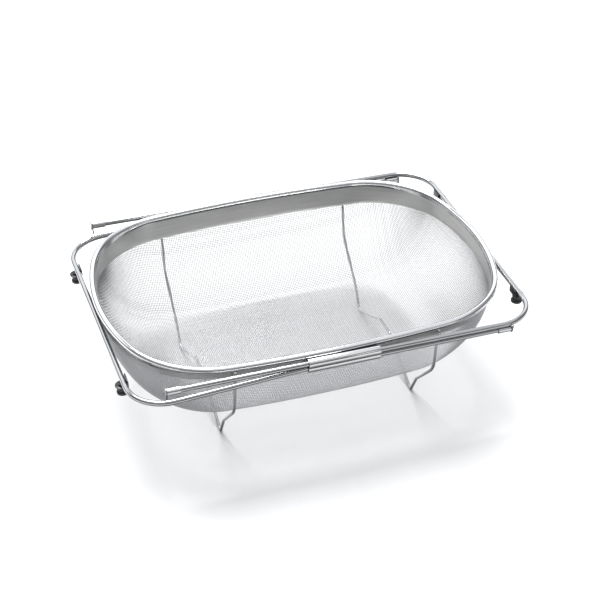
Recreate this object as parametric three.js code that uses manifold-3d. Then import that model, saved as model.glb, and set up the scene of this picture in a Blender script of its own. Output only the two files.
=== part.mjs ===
// Extendable colander: an oblong basket of wire mesh hung in a rolled steel rim, with two U-shaped
// wire arms that slide out to span a sink and two bent wires under the basket to stand on.
// Units are millimetres: +X along the long side, +Y to the rear, +Z up from the table.
import * as THREE from "three";
import { mergeVertices } from "three/addons/utils/BufferGeometryUtils.js";
import Module from "manifold-3d";

const wasm = await Module();
wasm.setup();

// Clearance between pieces that touch on the real object, and reach within which vertices are one
const touchGap = 0.3;
const mergeReach = 1e-3;

// Mouth, measured at the centre line of the rolled bead: two bowed sides, two bowed ends, four corners
const rimHalfLength = 168;
const rimHalfWidth = 119.4;
const rimHeight = 104.5;
const sideBowRadius = 1029;
const endBowRadius = 197.4;
const rimCornerRadius = 78.5;
const endSteps = 3;
const cornerSteps = 9;
const sideSteps = 4;

// Rolled bead and the solid band below it, one strip of sheet
const beadRadius = 2.8;
const rimSheet = 0.6;
const bandDepth = 15.5;
const curlTipAngle = THREE.MathUtils.degToRad(-100);
const curlSteps = 10;
const bandSteps = 2;

// Mesh tub: a slope is the run inwards for each unit of depth
const meshThickness = 0.8;
const endSlope = 0.03;
const sideSlope = 0.49;
const floorHeight = 26;
const endWallRun = 0.9;
const sideFloorRadius = 22;
const floorCornerRadius = 42;
const cornerSwell = 60;
const wallSteps = 9;

// Arm wires. Both arms slide along one line that falls slightly to the right
const rodRadius = 2.3;
const rodSides = 12;
const armCornerRadius = 32;
const slideTilt = 0.012;
const upperRodSink = 3.5;
const rodGap = 0.4;
const lowerRodInset = 1.3;
const rodTipPast = 8;
const lowerArmSag = 0.063;
const bendStepAngle = THREE.MathUtils.degToRad(13);

// Guides: folded sleeves for both rods, welded to the tub wall under the bead
const guideHalfLength = 30;
const guideSheet = 0.8;
const guidePlay = 0.7;
const guideFlangeDepth = 9;
const guideEndPlay = 1.5;
const guideArcSteps = 6;

// Caps on the rod ends, each with a fork that rides on the rod of the other arm
const capLength = 12;
const capWall = 0.6;
const forkThickness = 1;
const forkProng = 1.2;
const forkPlay = 0.3;
const forkCrown = 0.6;
const capSides = 20;
const forkArcSteps = 5;

// Tabs and rubber feet under the end rods
const tabCornerGap = 4.6;
const footOutset = 1;
const tabSheet = 1;
const tabWidth = 11;
const tabRise = 1.5;
const tabHoleRadius = 2;
const tabBendRadius = 1.4;
const tabArcSteps = 5;
const tabBendSteps = 2;
const footFlangeRadius = 4.75;
const footFlangeHeight = 2.5;
const footEdgeRound = 0.5;
const footNeckRadius = 2.8;
const footNeckLength = 3.1;
const footCollarRadius = 3.25;
const footCollarHeight = 1.2;
const footButtonRadius = 2.7;
const footButtonHeight = 1.1;
const footButtonGap = 0.7;
const footSides = 16;

// Leg wires, each bent in one upright plane across the basket: from the wall out to the knee, then
// inwards along the shin and the heel to the tip
const legWireRadius = 1.4;
const legWireSides = 8;
const legHalfSpacing = 85.8;
const legTopLength = 5;
const legKneeOff = 17;
const legKneeHeight = 54;
const legShinRun = 33;
const legAnkleDrop = 6;
const legHeelRun = 12.5;
const legTipFlat = 4;
const legFloorOut = 12;
const legBendRadius = 9;
const legTipBendRadius = 2.4;

const brushedSteel = { color: 0xa9abad, roughness: 0.4, metalness: 1 };
const polishedSteel = { color: 0xc9cbcd, roughness: 0.22, metalness: 1 };
const meshSteel = { color: 0xb8babb, roughness: 0.5, metalness: 0.9 };
const blackRubber = { color: 0x161616, roughness: 0.75, metalness: 0 };

// Points of an arc, without its first point
function arcPoints(centre, radius, from, to, steps) {
  const points = [];
  for (let i = 1; i <= steps; i += 1) {
    const angle = THREE.MathUtils.lerp(from, to, i / steps);
    points.push(new THREE.Vector2(radius * Math.cos(angle), radius * Math.sin(angle)).add(centre));
  }
  return points;
}

// Closed oval at one height, pulled in from the bead's centre line by one inset at the ends and one
// at the sides. A quarter is half an end bow, a corner and half a side bow that meet without a kink.
function ovalRing(endInset, sideInset, cornerRadius, height) {
  const halfLength = rimHalfLength - endInset;
  const halfWidth = rimHalfWidth - sideInset;
  const sideRadius = sideBowRadius - sideInset;
  const endRadius = endBowRadius - endInset;
  const sideCentre = new THREE.Vector2(0, halfWidth - sideRadius);
  const endCentre = new THREE.Vector2(halfLength - endRadius, 0);
  const span = sideCentre.distanceTo(endCentre);
  const fromSide = sideRadius - cornerRadius;
  const fromEnd = endRadius - cornerRadius;
  const along = (fromSide ** 2 - fromEnd ** 2 + span ** 2) / (2 * span);
  const across = Math.sqrt(fromSide ** 2 - along ** 2);
  const towards = endCentre.clone().sub(sideCentre).normalize();
  const outwards = new THREE.Vector2(towards.y, -towards.x);
  const corner = sideCentre.clone().addScaledVector(towards, along).addScaledVector(outwards, across);
  const endAngle = corner.clone().sub(endCentre).angle();
  const sideAngle = corner.clone().sub(sideCentre).angle();
  const quarter = [
    new THREE.Vector2(halfLength, 0),
    ...arcPoints(endCentre, endRadius, 0, endAngle, endSteps),
    ...arcPoints(corner, cornerRadius, endAngle, sideAngle, cornerSteps),
    ...arcPoints(sideCentre, sideRadius, sideAngle, Math.PI / 2, sideSteps),
  ];
  const left = quarter.slice(0, -1).reverse();
  const rear = [...quarter, ...left.map((p) => new THREE.Vector2(-p.x, p.y))];
  const front = rear.slice(1, -1).reverse();
  const ring = [...rear, ...front.map((p) => new THREE.Vector2(p.x, -p.y))];
  return ring.map((p) => new THREE.Vector3(p.x, p.y, height));
}

// Closed body through rings of equal count, each flat and round the Z axis. Joined end to start it
// is a loop, otherwise its first and last ring get a flat cap. Faces that lie back to back are split
// along the same diagonals, so that the gap between them stays even.
function loft(rings, joined) {
  const count = rings[0].length;
  const points = rings.flat();
  const index = [];
  const spans = joined ? rings.length : rings.length - 1;
  for (let i = 0; i < spans; i += 1) {
    const here = i * count;
    const there = ((i + 1) % rings.length) * count;
    const rises = points[there].z > points[here].z;
    for (let j = 0; j < count; j += 1) {
      const next = (j + 1) % count;
      if (rises) index.push(here + j, here + next, there + j, here + next, there + next, there + j);
      else index.push(here + j, here + next, there + next, here + j, there + next, there + j);
    }
  }
  if (!joined) {
    const last = (rings.length - 1) * count;
    const firstCentre = points.push(new THREE.Vector3(0, 0, rings[0][0].z)) - 1;
    const lastCentre = points.push(new THREE.Vector3(0, 0, rings.at(-1)[0].z)) - 1;
    for (let j = 0; j < count; j += 1) {
      const next = (j + 1) % count;
      index.push(firstCentre, next, j, lastCentre, last + j, last + next);
    }
  }
  const geometry = new THREE.BufferGeometry().setFromPoints(points);
  geometry.setIndex(index);
  geometry.computeVertexNormals();
  return geometry;
}

// How far in a layer of the tub lies at a height: a straight slope that a floor radius rounds off
function wallInset(topInset, slope, floorRadius, floor, height) {
  const lean = Math.atan(slope);
  const bendHeight = floor + floorRadius * (1 - Math.sin(lean));
  if (height >= bendHeight) return topInset + slope * (rimHeight - height);
  const centreInset = topInset + slope * (rimHeight - bendHeight) + floorRadius * Math.cos(lean);
  const below = Math.min(floorRadius, floor + floorRadius - height);
  return centreInset - Math.sqrt(floorRadius ** 2 - below ** 2);
}

// Corner radius of a layer: it swells just below the rim and shrinks towards the floor
function wallCorner(topInset, height) {
  const depthShare = (rimHeight - height) / (rimHeight - floorHeight);
  const shrunk = THREE.MathUtils.lerp(rimCornerRadius, floorCornerRadius, depthShare);
  return shrunk + cornerSwell * depthShare * (1 - depthShare) ** 3 - topInset;
}

// The band stands inside the mesh, and the mesh inside the curl of the bead
const curlRadius = beadRadius - rimSheet;
const meshInnerInset = curlRadius - touchGap;
const meshOuterInset = meshInnerInset - meshThickness;
const meshTop = rimHeight - touchGap;
const bandBottom = rimHeight - bandDepth;
const bandHeights = [];
for (let i = 0; i <= bandSteps; i += 1) {
  bandHeights.push(THREE.MathUtils.lerp(bandBottom, meshTop, i / bandSteps));
}

// The end walls start to round off towards the floor just below the band
const endFloorRadius = (bandBottom - floorHeight - endWallRun) / (1 - Math.sin(Math.atan(endSlope)));

// Outer face of the tub wall at the middle of a long side
const sideWallOut = (height) => rimHalfWidth - meshOuterInset - sideSlope * (rimHeight - height);

function rimBand() {
  const band = (topInset) =>
    bandHeights.map((height) => {
      const depth = rimHeight - height;
      const ends = topInset + endSlope * depth;
      return ovalRing(ends, topInset + sideSlope * depth, wallCorner(topInset, height), height);
    });
  const curl = (radius, from, to) => {
    const rings = [];
    for (let i = 0; i <= curlSteps; i += 1) {
      const angle = THREE.MathUtils.lerp(from, to, i / curlSteps);
      const inset = -radius * Math.cos(angle);
      rings.push(ovalRing(inset, inset, rimCornerRadius - inset, rimHeight + radius * Math.sin(angle)));
    }
    return rings;
  };
  const inside = curl(curlRadius, Math.PI, curlTipAngle);
  const outside = curl(beadRadius, curlTipAngle, Math.PI);
  return loft([...band(curlRadius), ...inside, ...outside, ...band(beadRadius).reverse()], true);
}

// Beside the band the wall runs straight; below it the rings draw together towards the floor
function meshTub() {
  const layer = (topInset, inside) => {
    const floor = floorHeight + inside;
    const heights = [];
    for (let i = 0; i < wallSteps; i += 1) {
      heights.push(THREE.MathUtils.lerp(floor, bandBottom, (i / wallSteps) ** 2));
    }
    return [...heights, ...bandHeights].map((height) => {
      const ends = wallInset(topInset, endSlope, endFloorRadius - inside, floor, height);
      const sides = wallInset(topInset, sideSlope, sideFloorRadius - inside, floor, height);
      return ovalRing(ends, sides, wallCorner(topInset, height), height);
    });
  };
  const outside = layer(meshOuterInset, 0);
  const inside = layer(meshInnerInset, meshThickness);
  return loft([...outside, ...inside.reverse()], false);
}

// Route of a bent wire through stations, where its direction starts, goes on or stops turning
class WireRoute extends THREE.Curve {
  constructor(stations) {
    super();
    this.stations = stations;
  }

  stationAt(share) {
    return this.stations[Math.round(share * (this.stations.length - 1))];
  }

  getPointAt(share) {
    return this.stationAt(share).point.clone();
  }

  getTangentAt(share) {
    return this.stationAt(share).direction.clone();
  }
}

// Stations along straight runs between corners, each corner rounded by its own bend radius
function bentStations(corners) {
  const runs = corners.slice(1).map((corner, i) => corner.point.clone().sub(corners[i].point).normalize());
  const stations = [{ point: corners[0].point, direction: runs[0] }];
  for (let i = 1; i < corners.length - 1; i += 1) {
    const before = runs[i - 1];
    const turn = before.angleTo(runs[i]);
    const radius = corners[i].bend;
    const axis = before.clone().cross(runs[i]).normalize();
    const start = corners[i].point.clone().addScaledVector(before, -radius * Math.tan(turn / 2));
    const centre = start.clone().addScaledVector(axis.clone().cross(before), radius);
    const steps = Math.ceil(turn / bendStepAngle);
    for (let k = 0; k <= steps && turn > 0; k += 1) {
      const angle = (turn * k) / steps;
      const point = start.clone().sub(centre).applyAxisAngle(axis, angle).add(centre);
      stations.push({ point, direction: before.clone().applyAxisAngle(axis, angle) });
    }
  }
  stations.push({ point: corners.at(-1).point, direction: runs.at(-1) });
  return stations;
}

// Wire along a route, with a flat side of its section facing down
function wire(corners, radius, sides) {
  const stations = bentStations(corners);
  const section = [];
  for (let i = 0; i < sides; i += 1) {
    const angle = ((i + 0.5) * 2 * Math.PI) / sides;
    section.push(new THREE.Vector2(radius * Math.cos(angle), radius * Math.sin(angle)));
  }
  return new THREE.ExtrudeGeometry(new THREE.Shape(section), {
    steps: stations.length - 1,
    extrudePath: new WireRoute(stations),
  });
}

// Leg wire: from under the bead at the front down the wall to a knee, in to a foot tip, up to the
// floor of the tub, and the same way out again at the rear
function legWire() {
  const lean = Math.atan(sideSlope);
  const bowIn = sideBowRadius - Math.sqrt(sideBowRadius ** 2 - legHalfSpacing ** 2);
  const topHeight = rimHeight - beadRadius - touchGap - legWireRadius * Math.sin(lean);
  const topOut = sideWallOut(topHeight) - bowIn + (touchGap + legWireRadius) / Math.cos(lean);
  const kneeOut = sideWallOut(legKneeHeight) - bowIn + legKneeOff;
  const ankleOut = kneeOut - legShinRun;
  const tipOut = ankleOut - legHeelRun;
  const tipHeight = legWireRadius * Math.cos(Math.PI / legWireSides);
  const half = [
    [topOut, topHeight, 0],
    [topOut - legTopLength * Math.sin(lean), topHeight - legTopLength * Math.cos(lean), legBendRadius],
    [kneeOut, legKneeHeight, legBendRadius],
    [ankleOut, floorHeight - legAnkleDrop, legBendRadius],
    [tipOut + legTipFlat / 2, tipHeight, legTipBendRadius],
    [tipOut - legTipFlat / 2, tipHeight, legTipBendRadius],
    [legFloorOut, floorHeight - touchGap - legWireRadius, legBendRadius],
  ];
  const side = (sign) =>
    half.map(([out, height, bend]) => ({ point: new THREE.Vector3(0, sign * out, height), bend }));
  return wire([...side(-1), ...side(1).reverse()], legWireRadius, legWireSides);
}

// The guides lie against the bead and set how far out the upper rods run. The lower rods hang just
// below them. A rod ends a little past the place where the other arm starts its corner
const guideBoreRadius = rodRadius + guidePlay;
const guideSkin = guideBoreRadius + guideSheet;
const guideRise = slideTilt * guideHalfLength;
const beadReach = beadRadius + guideSkin + touchGap;
const upperRodHeight = rimHeight - upperRodSink;
const upperRodHalfSpan = rimHalfWidth + Math.sqrt(beadReach ** 2 - (upperRodSink - guideRise) ** 2);
const lowerRodHalfSpan = upperRodHalfSpan - lowerRodInset;
const rodDrop = 2 * rodRadius + rodGap;
const rodTipReach = rimHalfLength - armCornerRadius + rodTipPast;
const footHalfSpacing = lowerRodHalfSpan - armCornerRadius - tabCornerGap - tabWidth / 2;

// The arms and the guides share the slide frame: its X axis is the line that the arms slide along,
// and its origin is level with the upper rods. An arm's own frame has +X towards its end rod.
const endRodOut = (height) =>
  rimHalfLength - meshOuterInset - endSlope * (rimHeight - height) + touchGap + rodRadius;
const sagBendAt = guideHalfLength + guideEndPlay;
const sagDepth = (rimHalfLength - sagBendAt) * Math.sin(lowerArmSag);
const upperArm = {
  reach: endRodOut(upperRodHeight - slideTilt * rimHalfLength),
  halfSpan: upperRodHalfSpan,
  sag: 0,
  otherSpan: lowerRodHalfSpan,
  otherRise: -rodDrop,
};
const lowerArm = {
  reach: endRodOut(upperRodHeight - rodDrop + slideTilt * rimHalfLength - sagDepth),
  halfSpan: lowerRodHalfSpan,
  sag: lowerArmSag,
  otherSpan: upperRodHalfSpan,
  otherRise: rodDrop,
};

// Past the guide the lower arm hangs a little lower, from one slight bend in each of its rods
function armPlace(arm, x, y) {
  const past = Math.max(0, x - sagBendAt);
  return new THREE.Vector3(x - past * (1 - Math.cos(arm.sag)), y, -past * Math.sin(arm.sag));
}

function armWire(arm) {
  const side = (sign) => [
    { point: armPlace(arm, -rodTipReach, sign * arm.halfSpan) },
    { point: armPlace(arm, sagBendAt, sign * arm.halfSpan), bend: armCornerRadius },
    { point: armPlace(arm, arm.reach, sign * arm.halfSpan), bend: armCornerRadius },
  ];
  return wire([...side(-1), ...side(1).reverse()], rodRadius, rodSides);
}

// Body of one section, drawn in Y and Z, that runs along X
function barAlongX(section, from, to, curveSegments) {
  const bar = new THREE.ExtrudeGeometry(section, { depth: to - from, bevelEnabled: false, curveSegments });
  const xAxis = new THREE.Vector3(1, 0, 0);
  const yAxis = new THREE.Vector3(0, 1, 0);
  const zAxis = new THREE.Vector3(0, 0, 1);
  return bar.applyMatrix4(new THREE.Matrix4().makeBasis(yAxis, zAxis, xAxis)).translate(from, 0, 0);
}

function solidOf(geometry) {
  const loose = geometry.index ? geometry.toNonIndexed() : geometry;
  const bare = new THREE.BufferGeometry().setAttribute("position", loose.getAttribute("position"));
  const merged = mergeVertices(bare, mergeReach);
  const vertProperties = merged.getAttribute("position").array;
  const triVerts = new Uint32Array(merged.index.array);
  return new wasm.Manifold(new wasm.Mesh({ numProp: 3, vertProperties, triVerts }));
}

function geometryOf(solid) {
  const mesh = solid.getMesh();
  const indexed = new THREE.BufferGeometry();
  indexed.setAttribute("position", new THREE.BufferAttribute(mesh.vertProperties, mesh.numProp));
  indexed.setIndex(new THREE.BufferAttribute(mesh.triVerts, 1));
  const geometry = indexed.toNonIndexed();
  geometry.computeVertexNormals();
  return geometry;
}

// Guide on the rear side, in the slide frame: one strip that starts as a flange on the tub wall,
// turns out under the bead and wraps both rods in a figure of eight with a pinched waist
function guideSleeve() {
  const upper = new THREE.Vector2(upperRodHalfSpan, 0);
  const lower = new THREE.Vector2(lowerRodHalfSpan, -rodDrop);
  const middle = upper.clone().add(lower).divideScalar(2);
  const down = lower.clone().sub(upper).normalize();
  const outwards = new THREE.Vector2(-down.y, down.x);
  const waist = (radius, sign) => {
    const halfChord = Math.sqrt(radius ** 2 - (upper.distanceTo(lower) / 2) ** 2);
    return middle.clone().addScaledVector(outwards, sign * halfChord);
  };
  const wrap = (path, clockwise, centre, radius, from, to) => {
    const start = from.clone().sub(centre).angle();
    const end = to.clone().sub(centre).angle();
    path.absarc(centre.x, centre.y, radius, start, end, clockwise);
  };
  const lean = Math.hypot(1, sideSlope);
  const webTop = upperRodSink - beadRadius - guideRise - touchGap;
  const webBottom = webTop - guideSheet;
  const flangeBottom = webTop - guideFlangeDepth;
  const offWall = (z, off) => new THREE.Vector2(sideWallOut(upperRodHeight + z) + off * lean, z);
  const onSkin = (z) => new THREE.Vector2(upper.x - Math.sqrt(guideSkin ** 2 - z ** 2), z);
  const strip = new THREE.Shape([
    offWall(webBottom, touchGap + guideSheet),
    offWall(flangeBottom, touchGap + guideSheet),
    offWall(flangeBottom, touchGap),
    offWall(webTop, touchGap),
    onSkin(webTop),
  ]);
  wrap(strip, true, upper, guideSkin, onSkin(webTop), waist(guideSkin, 1));
  wrap(strip, true, lower, guideSkin, waist(guideSkin, 1), waist(guideSkin, -1));
  wrap(strip, true, upper, guideSkin, waist(guideSkin, -1), onSkin(webBottom));
  const bores = new THREE.Path();
  wrap(bores, false, upper, guideBoreRadius, waist(guideBoreRadius, 1), waist(guideBoreRadius, -1));
  wrap(bores, false, lower, guideBoreRadius, waist(guideBoreRadius, -1), waist(guideBoreRadius, 1));
  strip.holes.push(bores);
  return barAlongX(strip, -guideHalfLength, guideHalfLength, guideArcSteps);
}

// Cap on one rod end, in its arm's frame with Y and Z from the rod's centre line; sign is the side of
// the rod. Its fork lets the other arm's rod through, also where that rod starts to turn its corner.
function rodCap(arm, other, sign) {
  const bore = rodRadius + touchGap;
  const skin = bore + capWall;
  const closed = -rodTipReach - touchGap - forkThickness;
  const open = closed + capLength;
  const sleeve = new THREE.LatheGeometry(
    [
      new THREE.Vector2(0, closed),
      new THREE.Vector2(skin, closed),
      new THREE.Vector2(skin, open),
      new THREE.Vector2(bore, open),
      new THREE.Vector2(bore, closed + forkThickness),
      new THREE.Vector2(0, closed + forkThickness),
    ],
    capSides,
  ).rotateZ(-Math.PI / 2);
  const cornerRun = Math.max(0, armCornerRadius - other.reach - closed);
  const cornerTurn = Math.asin(cornerRun / armCornerRadius);
  const cornerShift = armCornerRadius * (1 - Math.cos(cornerTurn));
  const notchRadius = rodRadius / Math.cos(cornerTurn) + forkPlay + cornerShift / 2;
  const notchY = sign * (arm.otherSpan - arm.halfSpan - cornerShift / 2);
  const notchZ = arm.otherRise;
  const prong = notchRadius + forkProng;
  const crown = skin + forkCrown;
  const plate = new THREE.Shape();
  plate.moveTo(notchY - prong, notchZ);
  plate.lineTo(notchY + prong, notchZ);
  plate.lineTo(crown, 0);
  plate.absarc(0, 0, crown, 0, Math.PI, notchZ > 0);
  const forkPlate = barAlongX(plate, closed, closed + forkThickness, forkArcSteps);
  const cutRadius = notchRadius / Math.cos(Math.PI / (2 * forkArcSteps));
  const notch = new THREE.Shape().absarc(notchY, notchZ, cutRadius, 0, 2 * Math.PI);
  const passage = barAlongX(notch, closed - touchGap, open + touchGap, forkArcSteps);
  return geometryOf(solidOf(sleeve).add(solidOf(forkPlate)).subtract(solidOf(passage)));
}

// The button of the foot has room between the rod and the tab
const tabDrop = rodRadius + footButtonGap + footButtonHeight + touchGap;

// Tab under an end rod, from the rod's centre line with +X outwards: a short leaf on the inner side
// of the rod and a tongue below it that ends in a half round, with a hole for the foot
function footTab() {
  const back = -rodRadius - touchGap - tabSheet;
  const floor = -tabDrop - tabSheet;
  const halfWidth = tabWidth / 2;
  const tongueEnd = footOutset + halfWidth;
  const bendX = back + tabBendRadius;
  const bendZ = floor + tabBendRadius;
  const section = new THREE.Shape([new THREE.Vector2(back, tabRise), new THREE.Vector2(back, bendZ)]);
  section.absarc(bendX, bendZ, tabBendRadius, Math.PI, 1.5 * Math.PI, false);
  section.lineTo(tongueEnd, floor);
  section.lineTo(tongueEnd, -tabDrop);
  section.absarc(bendX, bendZ, tabBendRadius - tabSheet, 1.5 * Math.PI, Math.PI, true);
  section.lineTo(back + tabSheet, tabRise);
  const strip = new THREE.ExtrudeGeometry(section, {
    depth: tabWidth + 2 * touchGap,
    bevelEnabled: false,
    curveSegments: tabBendSteps,
  });
  strip.rotateX(Math.PI / 2).translate(0, halfWidth + touchGap, 0);
  const plan = new THREE.Shape([
    new THREE.Vector2(back - touchGap, halfWidth),
    new THREE.Vector2(back - touchGap, -halfWidth),
  ]);
  plan.absarc(footOutset, 0, halfWidth, -Math.PI / 2, Math.PI / 2, false);
  plan.holes.push(new THREE.Path().absarc(footOutset, 0, tabHoleRadius, 0, 2 * Math.PI));
  const cutter = new THREE.ExtrudeGeometry(plan, {
    depth: tabRise + 2 * touchGap - floor,
    bevelEnabled: false,
    curveSegments: tabArcSteps,
  });
  cutter.translate(0, 0, floor - touchGap);
  return geometryOf(solidOf(strip).intersect(solidOf(cutter)));
}

// Rubber foot from the rod's centre line: flange to stand on, neck and collar below the tab, a stem
// through its hole and a button above
function rubberFoot() {
  const collarTop = -tabDrop - tabSheet - touchGap;
  const collarBottom = collarTop - footCollarHeight;
  const flangeTop = collarBottom - footNeckLength;
  const bottom = flangeTop - footFlangeHeight;
  const buttonBottom = touchGap - tabDrop;
  const buttonTop = buttonBottom + footButtonHeight;
  const stem = tabHoleRadius - touchGap;
  const profile = [
    [0, bottom],
    [footFlangeRadius - footEdgeRound, bottom],
    [footFlangeRadius, bottom + footEdgeRound],
    [footFlangeRadius, flangeTop - footEdgeRound],
    [footFlangeRadius - footEdgeRound, flangeTop],
    [footNeckRadius, flangeTop + footEdgeRound],
    [footNeckRadius, collarBottom],
    [footCollarRadius, collarBottom],
    [footCollarRadius, collarTop],
    [stem, collarTop],
    [stem, buttonBottom],
    [footButtonRadius, buttonBottom],
    [footButtonRadius - footEdgeRound, buttonTop],
    [0, buttonTop],
  ];
  const points = profile.map(([radius, height]) => new THREE.Vector2(radius, height));
  return new THREE.LatheGeometry(points, footSides).rotateX(Math.PI / 2);
}

function piece(name, geometry, look) {
  const mesh = new THREE.Mesh(geometry, new THREE.MeshStandardMaterial(look));
  mesh.name = name;
  return mesh;
}

// One arm with its caps and feet, in its own frame; faces names the side that its +Y looks to
function armAssembly(side, arm, other, faces) {
  const assembly = new THREE.Group();
  assembly.add(piece(`arm_${side}`, armWire(arm), polishedSteel));
  const end = new THREE.Group();
  end.position.copy(armPlace(arm, arm.reach, 0));
  end.rotation.y = arm.sag;
  for (const [sign, face] of faces) {
    const cap = piece(`rod_cap_${side}_${face}`, rodCap(arm, other, sign), polishedSteel);
    cap.position.y = sign * arm.halfSpan;
    const tab = piece(`foot_tab_${side}_${face}`, footTab(), brushedSteel);
    const foot = piece(`rubber_foot_${side}_${face}`, rubberFoot(), blackRubber);
    tab.position.y = sign * footHalfSpacing;
    foot.position.set(footOutset, sign * footHalfSpacing, 0);
    assembly.add(cap);
    end.add(tab, foot);
  }
  assembly.add(end);
  return assembly;
}

const colander = new THREE.Group();
colander.add(piece("rim_band", rimBand(), brushedSteel));
colander.add(piece("mesh_basket", meshTub(), meshSteel));
for (const [side, sign] of [["left", -1], ["right", 1]]) {
  const leg = piece(`leg_wire_${side}`, legWire(), polishedSteel);
  leg.position.x = sign * legHalfSpacing;
  colander.add(leg);
}

const slideFrame = new THREE.Group();
slideFrame.position.z = upperRodHeight;
slideFrame.rotation.y = slideTilt;
const guideRear = piece("guide_rear", guideSleeve(), polishedSteel);
const guideFront = piece("guide_front", guideSleeve(), polishedSteel);
guideFront.rotation.z = Math.PI;
const armRight = armAssembly("right", upperArm, lowerArm, [[-1, "front"], [1, "rear"]]);
const armLeft = armAssembly("left", lowerArm, upperArm, [[-1, "rear"], [1, "front"]]);
armLeft.position.z = -rodDrop;
armLeft.rotation.z = Math.PI;
slideFrame.add(guideRear, guideFront, armRight, armLeft);
colander.add(slideFrame);

// The origin is the middle of the whole footprint, on the table
const bounds = new THREE.Box3().setFromObject(colander);
colander.position.x = -(bounds.min.x + bounds.max.x) / 2;

export default colander;
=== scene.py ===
"""Extendable colander: the woven basket, its rolled rim and the sliding wire arms, dressed for a still.

Lengths are in metres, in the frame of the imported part: +X along the long side, +Y to the rear, +Z up.
"""

import math
from contextlib import contextmanager

import bmesh
import bpy
import numpy as np
from bpy.props import FloatProperty, FloatVectorProperty, IntProperty, PointerProperty
from mathutils import Matrix, Vector


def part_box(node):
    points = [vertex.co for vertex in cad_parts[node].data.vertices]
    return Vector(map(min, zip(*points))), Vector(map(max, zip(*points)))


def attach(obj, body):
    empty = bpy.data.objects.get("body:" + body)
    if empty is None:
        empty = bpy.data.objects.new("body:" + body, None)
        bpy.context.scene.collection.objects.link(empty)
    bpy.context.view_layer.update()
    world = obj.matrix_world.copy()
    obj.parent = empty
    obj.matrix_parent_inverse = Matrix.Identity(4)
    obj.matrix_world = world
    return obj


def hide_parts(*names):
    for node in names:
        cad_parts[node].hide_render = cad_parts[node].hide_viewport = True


bl_info = {
    "name": "Extendable colander",
    "version": (1, 0, 0),
    "blender": (4, 5, 0),
    "location": "3D View > Sidebar > Colander",
    "description": "Builds the woven basket, rolled rim, wire arms and legs of an over-sink colander",
    "category": "Add Mesh",
}

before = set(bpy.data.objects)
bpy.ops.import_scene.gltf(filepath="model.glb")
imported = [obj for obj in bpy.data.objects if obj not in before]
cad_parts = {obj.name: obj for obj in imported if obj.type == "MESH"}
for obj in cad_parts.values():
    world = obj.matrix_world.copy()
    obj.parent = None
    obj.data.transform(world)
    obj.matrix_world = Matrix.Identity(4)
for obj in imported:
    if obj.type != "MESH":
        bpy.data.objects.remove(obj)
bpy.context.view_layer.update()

MM = 0.001
MIDDLE_X = sum(corner.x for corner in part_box("rim_band")) / 2
ARM_SIDES = ("left", "right")
# A flat outline's x, y and thickness go to the part's Y, Z and X, or to its X, Z and -Y
ALONG_X = Matrix(((0, 0, 1, 0), (1, 0, 0, 0), (0, 1, 0, 0), (0, 0, 0, 1)))
UPRIGHT = Matrix(((1, 0, 0, 0), (0, 0, -1, 0), (0, 1, 0, 0), (0, 0, 0, 1)))


def length(name, description, default, low=0.0):
    """A size in millimetres, kept as a Blender length."""
    return FloatProperty(
        name=name, description=description, default=default * MM, min=low * MM, unit="LENGTH"
    )


def colour(name, description, default):
    return FloatVectorProperty(
        name=name, description=description, default=default, size=3, min=0, max=1, subtype="COLOR"
    )


def share(name, description, default):
    return FloatProperty(name=name, description=description, default=default, min=0, max=1)


class RimSizes(bpy.types.PropertyGroup):
    """Mouth of the basket, measured at the centre line of the rolled bead."""

    half_length: length("Half length", "Middle of the basket to the bead at the end", 168)
    half_width: length("Half width", "Middle of the basket to the bead at the side", 119.4)
    height: length("Height", "Table to the centre line of the bead", 104.5)
    side_bow: length("Side bow", "Radius of the bowed long sides", 1029)
    end_bow: length("End bow", "Radius of the bowed ends", 197.4)
    corner: length("Corner", "Radius of the corners", 78.5)
    bead: length("Bead", "Radius of the rolled bead", 2.8)
    sheet: length("Sheet", "Thickness of the steel strip", 0.6)
    band_depth: length("Band depth", "Bead to the lower edge of the solid band", 15.5)
    clearance: length("Clearance", "Room between pieces that touch", 0.3)


class BasketSizes(bpy.types.PropertyGroup):
    """Woven basket below the rim."""

    pitch: length("Pitch", "Distance between neighbouring wires", 1.6, 1)
    wire: length("Wire", "Radius of the woven wire", 0.23, 0.05)
    lift: length("Lift", "How far a wire rises where it crosses another", 0.21)
    sheet: length("Cloth", "Thickness of the woven cloth", 0.8)
    floor_height: length("Floor height", "Table to the underside of the basket", 26)
    end_wall_run: length("End wall", "Straight part of the end walls below the band", 0.9)
    side_floor_radius: length("Side rounding", "Radius from the side walls into the floor", 22)
    floor_corner: length("Floor corner", "Corner radius of the floor", 42)
    corner_swell: length("Corner swell", "How much fuller the corners are below the rim", 60)
    end_slope: share("End slope", "Run inwards of the end walls for each unit of depth", 0.03)
    side_slope: share("Side slope", "Run inwards of the side walls for each unit of depth", 0.49)
    wire_sides: IntProperty(name="Wire sides", description="Faces round a wire", default=4, min=3)


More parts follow.
